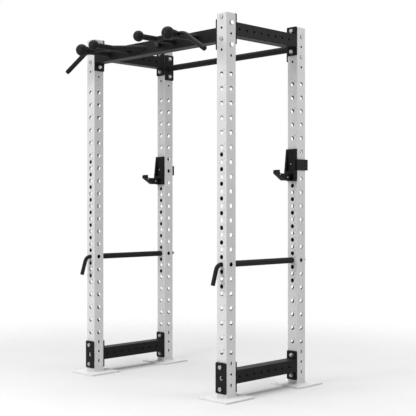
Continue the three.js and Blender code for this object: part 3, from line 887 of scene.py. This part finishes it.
def nuts_mesh(reach):
    """The four nuts, each on its washer, on the inner faces of a member's end plates."""
    bore = SHANK_R + NUT_GAP
    washer = [(WASHER_R, 0), (WASHER_R, WASHER_THICK), (bore, WASHER_THICK), (bore, 0)]
    bm = bmesh.new()
    for frame_at_end in end_frames(reach):
        for y in bolt_heights(0):
            seat = frame_at_end @ Matrix.Translation((0, y, -PLATE_THICK - WASHER_THICK))
            add_ring_lathe(bm, washer, seat)
            add_hex(bm, NUT_R, WASHER_THICK - NUT_HEIGHT, 0, seat, bore)
    return to_mesh(bm, "nuts", ZINC)


def add_box_member(bm, reach, holes):
    """Square tube along Y between two end plates, with a weld above and below at each one."""
    half = reach - PLATE_THICK + INTO_PLATE
    add_tube(bm, BEAM_WIDTH, BEAM_HEIGHT, BEAM_CORNER, -half, half, holes, [], ALONG_Y)
    bead_x = BEAM_WIDTH / 2 - 2 * BEAD_R
    for end in (-1, 1):
        y = end * (reach - PLATE_THICK - BEAD_LIFT)
        for rise in (-BEAM_HEIGHT / 2, BEAM_HEIGHT / 2):
            add_bead(bm, [Vector((-bead_x, y, rise)), Vector((bead_x, y, rise))], closed=False)


def beam_mesh(name, reach, rows=()):
    """Square tube between its end plates, with small holes through its sides at the rows."""
    bm = bmesh.new()
    add_box_member(bm, reach, [circle((0, -y), BEAM_HOLE_R, SMALL_SIDES) for y in rows])
    add_member_ends(bm, reach, PLATE_EYE_R)
    return to_mesh(bm, name, BLACK)


def rear_bar_mesh(reach):
    """Pull-up tube, a little below the middle of its end plates, with a weld right round."""
    half = reach - PLATE_THICK + INTO_PLATE
    bore = REAR_BAR_R - TUBE_WALL
    bm = bmesh.new()
    along = Matrix.Translation((0, 0, -REAR_BAR_DROP)) @ ALONG_Y
    add_ring_lathe(bm, [(REAR_BAR_R, -half), (REAR_BAR_R, half), (bore, half), (bore, -half)], along)
    for end in (-1, 1):
        y = end * (reach - PLATE_THICK - BEAD_LIFT)
        around = circle((0, 0), REAR_BAR_R, BAR_BEAD_SIDES)
        add_bead(bm, [Vector((p.x, y, p.y - REAR_BAR_DROP)) for p in around])
    add_member_ends(bm, reach, REAR_BAR_EYE_R)
    return to_mesh(bm, "rear_bar", BLACK)


def backing_plate_mesh():
    size = size_of("backing_plate_left")
    outline = rectangle(size.x, size.z, PLATE_CORNER)
    bm = bmesh.new()
    place = facing_front(0, -size.y / 2, 0)
    add_plate(bm, outline, plate_holes(PLATE_EYE_R), size.y, FOOT_EDGE, place)
    return to_mesh(bm, "backing_plate", BLACK)


def build_beams():
    reach = size_of("lower_side_beam_left").y / 2
    rows = [BEAM_HOLE_FIRST_Y + k * BEAM_HOLE_PITCH for k in range(BEAM_HOLE_COUNT)]
    side_beam, backing = beam_mesh("side_beam", reach, rows), backing_plate_mesh()
    side_nuts = nuts_mesh(reach)
    cross_reach = size_of("front_beam").x / 2
    cross_nuts = nuts_mesh(cross_reach)
    for side, _ in SIDES:
        for level in ("lower", "upper"):
            node = f"{level}_side_beam_{side}"
            over = Matrix.Translation(centre_of(node))
            put(side_beam, f"{level}_beam_{side}", RACK, COAT, node, place=over)
            put(side_nuts, f"{level}_beam_nuts_{side}", RACK, STEEL, place=over)
        node = f"backing_plate_{side}"
        put(backing, f"backing_{side}", RACK, COAT, node, place=Matrix.Translation(centre_of(node)))
    across = Matrix.Rotation(math.pi / 2, 4, "Z")
    front_beam, rear_bar = beam_mesh("front_beam", cross_reach), rear_bar_mesh(cross_reach)
    for node, mesh in (("front_beam", front_beam), ("rear_pull_up_bar", rear_bar)):
        over = Matrix.Translation(centre_of(node)) @ across
        put(mesh, f"{node}_tube", RACK, COAT, node, place=over)
        put(cross_nuts, f"{node}_nuts", RACK, STEEL, place=over)


# ---- bolts

def bolt_mesh(length):
    """Hex bolt along z: head over z = 0, shank down to -length, its last stretch threaded."""
    bm = bmesh.new()
    add_hex(bm, HEAD_R, HEAD_GAP, HEAD_HEIGHT, HERE)
    add_lathe(bm, [(0, 0), (NECK_R, 0), (NECK_R, NECK_HEIGHT), (0, NECK_HEIGHT)], HERE)
    thread_start = THREAD_START - length
    profile = [(0, SHANK_INTO_HEAD), (SHANK_R, SHANK_INTO_HEAD), (SHANK_R, thread_start)]
    turns = int(THREAD_LENGTH / THREAD_PITCH)
    for k in range(turns):
        z = thread_start - k * THREAD_PITCH
        profile += [(SHANK_R * THREAD_ROOT, z - THREAD_PITCH * 0.5), (SHANK_R, z - THREAD_PITCH)]
    profile += [(SHANK_POINT_R, -length), (0, -length)]
    add_lathe(bm, profile, HERE, SMALL_SIDES)
    return to_mesh(bm, "bolt", ZINC)


def build_bolts():
    """Each bolt points the way its CAD node does: head out of the rack, shank into it."""
    # The middle of the posts isn't the origin, because the grips reach forward.
    posts_y = (centre_of("upright_front_left").y + centre_of("upright_rear_left").y) / 2
    meshes = {}
    for node in sorted(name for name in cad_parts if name.startswith("bolt_")):
        low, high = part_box(node)
        middle, size = (low + high) / 2, high - low
        axis = max(range(3), key=lambda i: size[i])
        length = round(size[axis] - CAD_HEAD_HEIGHT, 4)
        if length not in meshes:
            meshes[length] = bolt_mesh(length)
        inward = (Vector((0, posts_y, 0)) - middle)[axis]
        out = Vector((0, 0, 0))
        out[axis] = -1 if inward > 0 else 1
        seat = middle.copy()
        seat[axis] = (high[axis] if out[axis] > 0 else low[axis]) - out[axis] * CAD_HEAD_HEIGHT
        place = facing(seat, (0, 0, 1), out.cross(Vector((0, 0, 1))))
        put(meshes[length], f"{node}_steel", RACK, STEEL, node, place=place)


# ---- pull-up grips

def add_arm_bead(bm, radius):
    add_bead(bm, [Vector((p.x, p.y, BEAD_LIFT)) for p in circle((0, 0), radius, ARM_BEAD_SIDES)])


def add_ball(bm, radius, neck_r, z):
    """Ball about the point at z, cut flat where the arm of radius neck_r comes in from behind."""
    reach = math.asin(min(1.0, (neck_r + BALL_COLLAR) / radius))
    angles = [math.pi - reach - k * (math.pi - reach) / BALL_STEPS for k in range(BALL_STEPS)]
    profile = [(0, -radius * math.cos(reach))]
    profile += [(radius * math.sin(a), radius * math.cos(a)) for a in angles] + [(0, radius)]
    add_lathe(bm, profile, Matrix.Translation((0, 0, z)), 2 * BALL_STEPS)


def inner_grip_mesh(reach, ball_r):
    """Straight arm with a ball whose middle is at reach from the beam's face."""
    bm = bmesh.new()
    length = reach - ball_r + BALL_SINK
    add_lathe(bm, rod_profile(INNER_ARM_R, -ARM_INTO_BEAM, length, HIDDEN_RIM, ARM_RIM), HERE)
    add_arm_bead(bm, INNER_ARM_R)
    add_ball(bm, ball_r, INNER_ARM_R, reach)
    return to_mesh(bm, "inner_grip", BLACK)


def outer_arm_mesh(length):
    """Arm that flares into its ball over the neck, in a smooth S."""
    flare = []
    for k in range(NECK_STEPS + 1):
        t = k / NECK_STEPS
        ease = t * t * (3 - 2 * t)
        radius = OUTER_ARM_R + (OUTER_NECK_R - OUTER_ARM_R) * ease
        flare.append((radius, length - OUTER_NECK_LENGTH * (1 - t)))
    bm = bmesh.new()
    root = [(0, -ARM_INTO_BEAM), (OUTER_ARM_R, -ARM_INTO_BEAM)]
    add_lathe(bm, root + flare + [(0, length)], HERE)
    add_arm_bead(bm, OUTER_ARM_R)
    return to_mesh(bm, "outer_arm", BLACK)


def outer_ball_mesh(radius):
    bm = bmesh.new()
    add_ball(bm, radius, OUTER_NECK_R, 0)
    return to_mesh(bm, "outer_ball", BLACK)


def grip_path(side, face_y):
    """Out of the beam's face at 45 degrees, across both arms, then down to the tip."""
    points = [
        (GRIP_ROOT_X - GRIP_INTO_BEAM, GRIP_INTO_BEAM, 0),
        (GRIP_ROOT_X + GRIP_CROSS_RUN, -GRIP_CROSS_RUN, 0),
        GRIP_BEND,
        GRIP_TIP,
    ]
    placed = [Vector((side * x, face_y + y, CROSS_Z + z)) for x, y, z in points]
    return bent_path(placed, GRIP_BEND_TRIM)


def angled_grip_mesh(side, face_y):
    path = grip_path(side, face_y)
    bm = bmesh.new()
    add_sweep(bm, path, GRIP_R, GRIP_RIM)
    end = (path[-1] - path[-2]).normalized()
    turn = end.to_track_quat("Z", "Y").to_matrix().to_4x4()
    plug = Matrix.Translation(path[-1] - end * PLUG_SINK) @ turn
    add_lathe(bm, rod_profile(PLUG_R, *PLUG_SPAN, HIDDEN_RIM, PLUG_RIM), plug)
    return to_mesh(bm, f"angled_grip_{side}", BLACK)


def build_grips():
    face_y = centre_of("front_beam").y - BEAM_WIDTH / 2
    inner_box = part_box("inner_ball_grip_right")
    inner_r = size_of("inner_ball_grip_right").x / 2
    inner = inner_grip_mesh(face_y - inner_box[0].y - inner_r, inner_r)
    arm = outer_arm_mesh(face_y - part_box("outer_grip_arm_right")[0].y)
    ball_r = size_of("outer_grip_ball_right").x / 2
    ball = outer_ball_mesh(ball_r)
    for side, sign in SIDES:
        node = f"inner_ball_grip_{side}"
        place = facing_front(centre_of(node).x, face_y, CROSS_Z)
        put(inner, f"inner_grip_{side}", RACK, COAT, node, place=place)
        node = f"outer_grip_arm_{side}"
        outer_x = centre_of(node).x
        put(arm, f"outer_arm_{side}", RACK, COAT, node, place=facing_front(outer_x, face_y, CROSS_Z))
        node = f"outer_grip_ball_{side}"
        place = facing_front(outer_x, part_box(node)[0].y + ball_r, CROSS_Z)
        put(ball, f"outer_ball_{side}", RACK, COAT, node, place=place)
        angled = angled_grip_mesh(sign, face_y)
        put(angled, f"angled_bar_{side}", RACK, COAT, f"angled_grip_{side}")


# ---- J-cups

def cup_face_y(post):
    """Front of a cup's steel plate: the post's face, less the plastic pad and the plate."""
    return post[0].y - CUP_GAP - LINER_PAD_THICK - LINER_GAP - PLATE_THICK


def along_outward(x):
    """Frame for an outline in Y and Z that is extruded along +X from x."""
    return facing((x, 0, 0), (0, -1, 0), (0, 0, 1)) @ Matrix.Diagonal((-1, 1, 1, 1))


def cup_bracket_mesh(side, box, post):
    """Steel of one J-cup: back plate, pin, hook, and strap round the post."""
    low, high = box
    face_y = cup_face_y(post)
    middle_x = (post[0].x + post[1].x) / 2
    half = (post[1].x - post[0].x) / 2
    height = high.z - low.z
    bm = bmesh.new()
    place = facing_front(middle_x, face_y, low.z + height / 2)
    add_plate(bm, rectangle(2 * half, height, CUP_CORNER), [], PLATE_THICK, CUP_EDGE, place)
    pin = facing((middle_x, face_y + PLATE_THICK / 2, CUP_PIVOT_Z), (-1, 0, 0), (0, 0, 1))
    add_lathe(bm, rod_profile(PIN_R, 0, CUP_PIN_LENGTH, HIDDEN_RIM, CUP_PIN_RIM), pin)
    hook = hook_outline(face_y + HOOK_INTO_PLATE, low.y, low.z + HOOK_FLOOR_RISE)
    add_plate(bm, hook, [], HOOK_WIDTH, HOOK_EDGE, along_outward(middle_x - HOOK_WIDTH / 2))
    strap = strap_outline(face_y, post[1].y, half, side)
    add_plate(bm, strap, [], CUP_STRAP_HIGH_Z - CUP_STRAP_LOW_Z, CUP_EDGE,
              Matrix.Translation((middle_x, 0, CUP_STRAP_HIGH_Z)))
    return to_mesh(bm, f"cup_bracket_{side}", BLACK)


def hook_outline(root_y, tip_y, low_z):
    """Bent flat bar of the hook in Y and Z: along the floor, up the slope, then up the lip."""
    heel_y = tip_y + HOOK_HEEL_RUN
    slope_z, lip_z = low_z + HOOK_SLOPE_RISE, low_z + HOOK_LIP_RISE
    t = PLATE_THICK
    return rounded([
        (root_y, low_z), (root_y, low_z + t), (heel_y + HOOK_HEEL_LAG, low_z + t),
        (tip_y + t, slope_z + HOOK_TOE_RISE), (tip_y + t, lip_z), (tip_y, lip_z),
        (tip_y, slope_z), (heel_y, low_z),
    ], HOOK_BEND, CUP_BEND_STEPS)


def strap_outline(face_y, back_y, half, side):
    """Bent flat bar in X and Y from the back plate round the post's outer side and back."""
    t = PLATE_THICK
    inner = half + STRAP_GAP
    outer = inner + t
    flange_y = back_y + FLANGE_GAP
    lap_x = half - STRAP_LAP
    corners = [
        (lap_x, face_y), (outer, face_y), (outer, flange_y + t), (-half, flange_y + t),
        (-half, flange_y), (inner, flange_y), (inner, face_y + t), (lap_x, face_y + t),
    ]
    return rounded([(side * x, y) for x, y in corners], STRAP_BEND, CUP_BEND_STEPS)


def cup_liner_mesh(box, bracket_box, post):
    """Plastic of one J-cup: wedge facing folded over the plate, and the seat."""
    foot_z, top_z = box[0].z, box[1].z
    middle_x = (post[0].x + post[1].x) / 2
    face_y = cup_face_y(post) - LINER_GAP
    pad_back = post[0].y - CUP_GAP
    pad_front = pad_back - LINER_PAD_THICK
    fold_z = bracket_box[1].z + LINER_GAP
    thin_y, thick_y = face_y - LINER_TOP_THICK, face_y - LINER_FOOT_THICK
    back = [(face_y, foot_z), (face_y, fold_z), (pad_front, fold_z), (pad_front, foot_z),
            (pad_back, foot_z), (pad_back, top_z), (thin_y, top_z)]
    cheek = rounded(back + [(thick_y, CUP_SEAT_Z), (thick_y, foot_z)], LINER_BEND, CUP_BEND_STEPS)
    slope = (thick_y - thin_y) / (CUP_SEAT_Z - top_z)
    ledge_y = thin_y + slope * (RECESS_LOW_Z - top_z)
    middle = rounded(back + [(thin_y, RECESS_LOW_Z), (ledge_y, RECESS_LOW_Z),
                             (thick_y, CUP_SEAT_Z), (thick_y, foot_z)], LINER_BEND, CUP_BEND_STEPS)
    cheek_width = (LINER_WIDTH - RECESS_WIDTH) / 2
    start_x = middle_x - LINER_WIDTH / 2
    bm = bmesh.new()
    for offset in (0, cheek_width + RECESS_WIDTH):
        add_plate(bm, cheek, [], cheek_width, LINER_EDGE, along_outward(start_x + offset))
    add_plate(bm, middle, [], RECESS_WIDTH + 2 * RECESS_LAP, RECESS_EDGE,
              along_outward(start_x + cheek_width - RECESS_LAP))
    hook_y, hook_z = bracket_box[0].y, bracket_box[0].z + HOOK_FLOOR_RISE
    tip_y = hook_y + PLATE_THICK + LINER_GAP
    floor_z = hook_z + PLATE_THICK + LINER_GAP
    lip_z = CUP_SEAT_Z + SEAT_LIP_RISE
    lip_y = tip_y + SEAT_LIP_THICK
    root_y = face_y - SEAT_GAP
    slant_run, slant_rise = SEAT_SLANT
    seat = rounded([
        (root_y, floor_z), (root_y, CUP_SEAT_Z), (lip_y + slant_run, CUP_SEAT_Z),
        (lip_y, CUP_SEAT_Z + slant_rise), (lip_y, lip_z), (tip_y, lip_z),
        (tip_y, hook_z + HOOK_SLOPE_RISE + SEAT_TOE_RISE), (hook_y + SEAT_HEEL_RUN, floor_z),
    ], SEAT_BEND, SEAT_BEND_STEPS)
    add_plate(bm, seat, [], HOOK_WIDTH, SEAT_EDGE, along_outward(middle_x - HOOK_WIDTH / 2))
    return to_mesh(bm, "cup_liner", BLACK_PLASTIC)


def screw_mesh():
    """Button-head screw standing out along z, with a round socket."""
    dome = [(SCREW_R * math.cos(a), SCREW_HEIGHT * math.sin(a)) for a in quarter_turn(8)[:-2]]
    root = [(0, -SCREW_SINK), (SCREW_R, -SCREW_SINK)]
    return lathe_mesh("screw", root + dome + SCREW_SOCKET, ZINC, SMALL_SIDES)


def build_cups():
    screw = screw_mesh()
    for side, sign in SIDES:
        body = f"jcup_{side}"
        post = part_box(f"upright_rear_{side}")
        bracket_node, liner_node = f"jcup_bracket_{side}", f"jcup_liner_{side}"
        bracket_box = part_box(bracket_node)
        bracket = cup_bracket_mesh(sign, bracket_box, post)
        put(bracket, f"{body}_steel", body, COAT, bracket_node)
        liner = cup_liner_mesh(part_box(liner_node), bracket_box, post)
        put(liner, f"{body}_plastic", body, "black_plastic", liner_node)
        middle_x = (post[0].x + post[1].x) / 2
        recess_y = cup_face_y(post) - LINER_GAP - LINER_TOP_THICK
        front = facing_front(middle_x, recess_y, SCREW_FACE_Z)
        put(screw, f"{body}_screw_face", body, STEEL, place=front)
        hook_y = bracket_box[0].y
        for name, run, z in HOOK_SCREWS:
            for label, out in (("outer", 1), ("inner", -1)):
                at = (middle_x + out * HOOK_WIDTH / 2, hook_y + run, z)
                place = facing(at, (0, out, 0), (0, 0, 1))
                put(screw, f"{body}_screw_{name}_{label}", body, STEEL, place=place)


# ---- pin-and-pipe safeties

def pin_mesh(box, side_x, pin_z, post_y):
    """Round bar along Y with a bent hand hold in front."""
    trim = PIN_BEND_R * math.tan(PIN_BEND / 2)
    corner = Vector((side_x, post_y - trim, pin_z))
    down = Vector((0, -math.cos(PIN_BEND), -math.sin(PIN_BEND)))
    rear = Vector((side_x, box[1].y - PIN_NOSE_LENGTH, pin_z))
    path = bent_path([rear, corner, corner + down * (trim + PIN_STRAIGHT)], trim, PIN_BEND_STEPS)
    bm = bmesh.new()
    add_sweep(bm, path, PIN_R, HIDDEN_RIM)
    return to_mesh(bm, "safety_pin", BLACK)


def pin_nose_mesh():
    """Bare blunt cone on the pin's rear end, which finds the hole."""
    base, tip, length, edge = PIN_NOSE_BASE_R, PIN_NOSE_R, PIN_NOSE_LENGTH, PIN_NOSE_EDGE
    profile = [(0, -PIN_NOSE_SINK), (base, -PIN_NOSE_SINK), (base, HIDDEN_RIM),
               (tip, length - edge), (tip - edge, length), (0, length)]
    return lathe_mesh("pin_nose", profile, ZINC, ROUND_SIDES)


def pipe_mesh(radius, length):
    """Open pipe about the origin along Y, with its rims broken."""
    bore, half, edge = radius - PIPE_WALL, length / 2, PIPE_EDGE
    profile = [
        (radius, half - edge), (radius - edge, half), (bore + edge, half), (bore, half - edge),
        (bore, edge - half), (bore + edge, -half), (radius - edge, -half), (radius, edge - half),
    ]
    bm = bmesh.new()
    add_ring_lathe(bm, profile, ALONG_Y)
    return to_mesh(bm, "safety_pipe", BLACK)


def build_safeties():
    nose = pin_nose_mesh()
    size = size_of("safety_pipe_right")
    sleeve = pipe_mesh(size.z / 2, size.y)
    for side, _ in SIDES:
        body = f"safety_pin_{side}"
        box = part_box(body)
        pipe_node = f"safety_pipe_{side}"
        middle = centre_of(pipe_node)
        start_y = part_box(f"upright_front_{side}")[0].y - CUP_GAP
        put(pin_mesh(box, middle.x, middle.z, start_y), f"{body}_bar", body, COAT, body)
        place = facing((middle.x, box[1].y - PIN_NOSE_LENGTH, middle.z), (-1, 0, 0), (0, 0, 1))
        put(nose, f"{body}_nose", body, STEEL, place=place)
        over = Matrix.Translation(middle)
        put(sleeve, f"{pipe_node}_sleeve", RACK, COAT, pipe_node, place=over)


# ---- stage, light, camera

def build_floor():
    """Pale disc whose rim fades out, so that the floor runs into the white backdrop."""
    bm = bmesh.new()
    bmesh.ops.create_circle(bm, cap_ends=True, segments=96, radius=FLOOR_RADIUS)
    shader = Shader("floor")
    shader.set(Roughness=0.9, Specular_IOR_Level=0.1)
    tone = shader.ramp(shader.noise(3.0), FLOOR_TONES)
    shader.link(tone, shader.surface.inputs["Base Color"])
    length = shader.node("ShaderNodeVectorMath", operation="LENGTH")
    shader.link(shader.coordinates, length.inputs[0])
    radii = {"From Min": FLOOR_SOLID_RADIUS, "From Max": FLOOR_FADE_RADIUS}
    fade = shader.node("ShaderNodeMapRange", radii, interpolation_type="SMOOTHSTEP")
    shader.link(length.outputs["Value"], fade.inputs["Value"])
    mix = shader.node("ShaderNodeMixShader")
    clear = shader.node("ShaderNodeBsdfTransparent")
    shader.link(fade.outputs["Result"], mix.inputs["Fac"])
    shader.link(shader.surface.outputs["BSDF"], mix.inputs[1])
    shader.link(clear.outputs["BSDF"], mix.inputs[2])
    shader.link(mix.outputs["Shader"], shader.tree.nodes["Material Output"].inputs["Surface"])
    mesh = bpy.data.meshes.new("floor")
    bm.to_mesh(mesh)
    bm.free()
    mesh.materials.append(shader.material)
    add_object("floor", mesh)


def add_lamp(name, kind, direction, **settings):
    light = bpy.data.lights.new(name, kind)
    for key, value in settings.items():
        setattr(light, key, value)
    lamp = add_object(name, light)
    lamp.rotation_euler = Vector(direction).to_track_quat("-Z", "Y").to_euler()
    return lamp


def build_light():
    world = bpy.data.worlds.new("studio")
    world.use_nodes = True
    tree = world.node_tree
    light, backdrop = tree.nodes["Background"], tree.nodes.new("ShaderNodeBackground")
    for background, strength in ((light, WORLD_LIGHT), (backdrop, BACKDROP)):
        background.inputs["Color"].default_value = WHITE_LIGHT
        background.inputs["Strength"].default_value = strength
    rays = tree.nodes.new("ShaderNodeLightPath")
    mix = tree.nodes.new("ShaderNodeMixShader")
    link = tree.links.new
    link(rays.outputs["Is Diffuse Ray"], mix.inputs["Fac"])
    link(backdrop.outputs["Background"], mix.inputs[1])
    link(light.outputs["Background"], mix.inputs[2])
    link(mix.outputs["Shader"], tree.nodes["World Output"].inputs["Surface"])
    bpy.context.scene.world = world
    for name, at, size, watts in AREA_LIGHTS:
        towards = Vector(LIGHT_TARGET) - Vector(at)
        add_lamp(name, "AREA", towards, shape="DISK", size=size, energy=watts).location = at
    add_lamp("overhead", "SUN", SUN_DIRECTION, energy=SUN_STRENGTH, angle=SUN_ANGLE)


def build_camera():
    camera = bpy.data.cameras.new("camera")
    camera.lens = CAMERA_LENS
    camera.sensor_width = CAMERA_SENSOR
    camera.clip_end = CAMERA_REACH
    stand = add_object("camera", camera)
    stand.location = CAMERA_AT
    stand.rotation_euler = (math.pi / 2, 0, CAMERA_HEADING)
    bpy.context.scene.camera = stand
    bpy.context.scene.view_settings.view_transform = "Standard"


# ---- the rack

build_posts()
build_beams()
build_bolts()
build_grips()
build_cups()
build_safeties()
build_floor()
build_light()
build_camera()
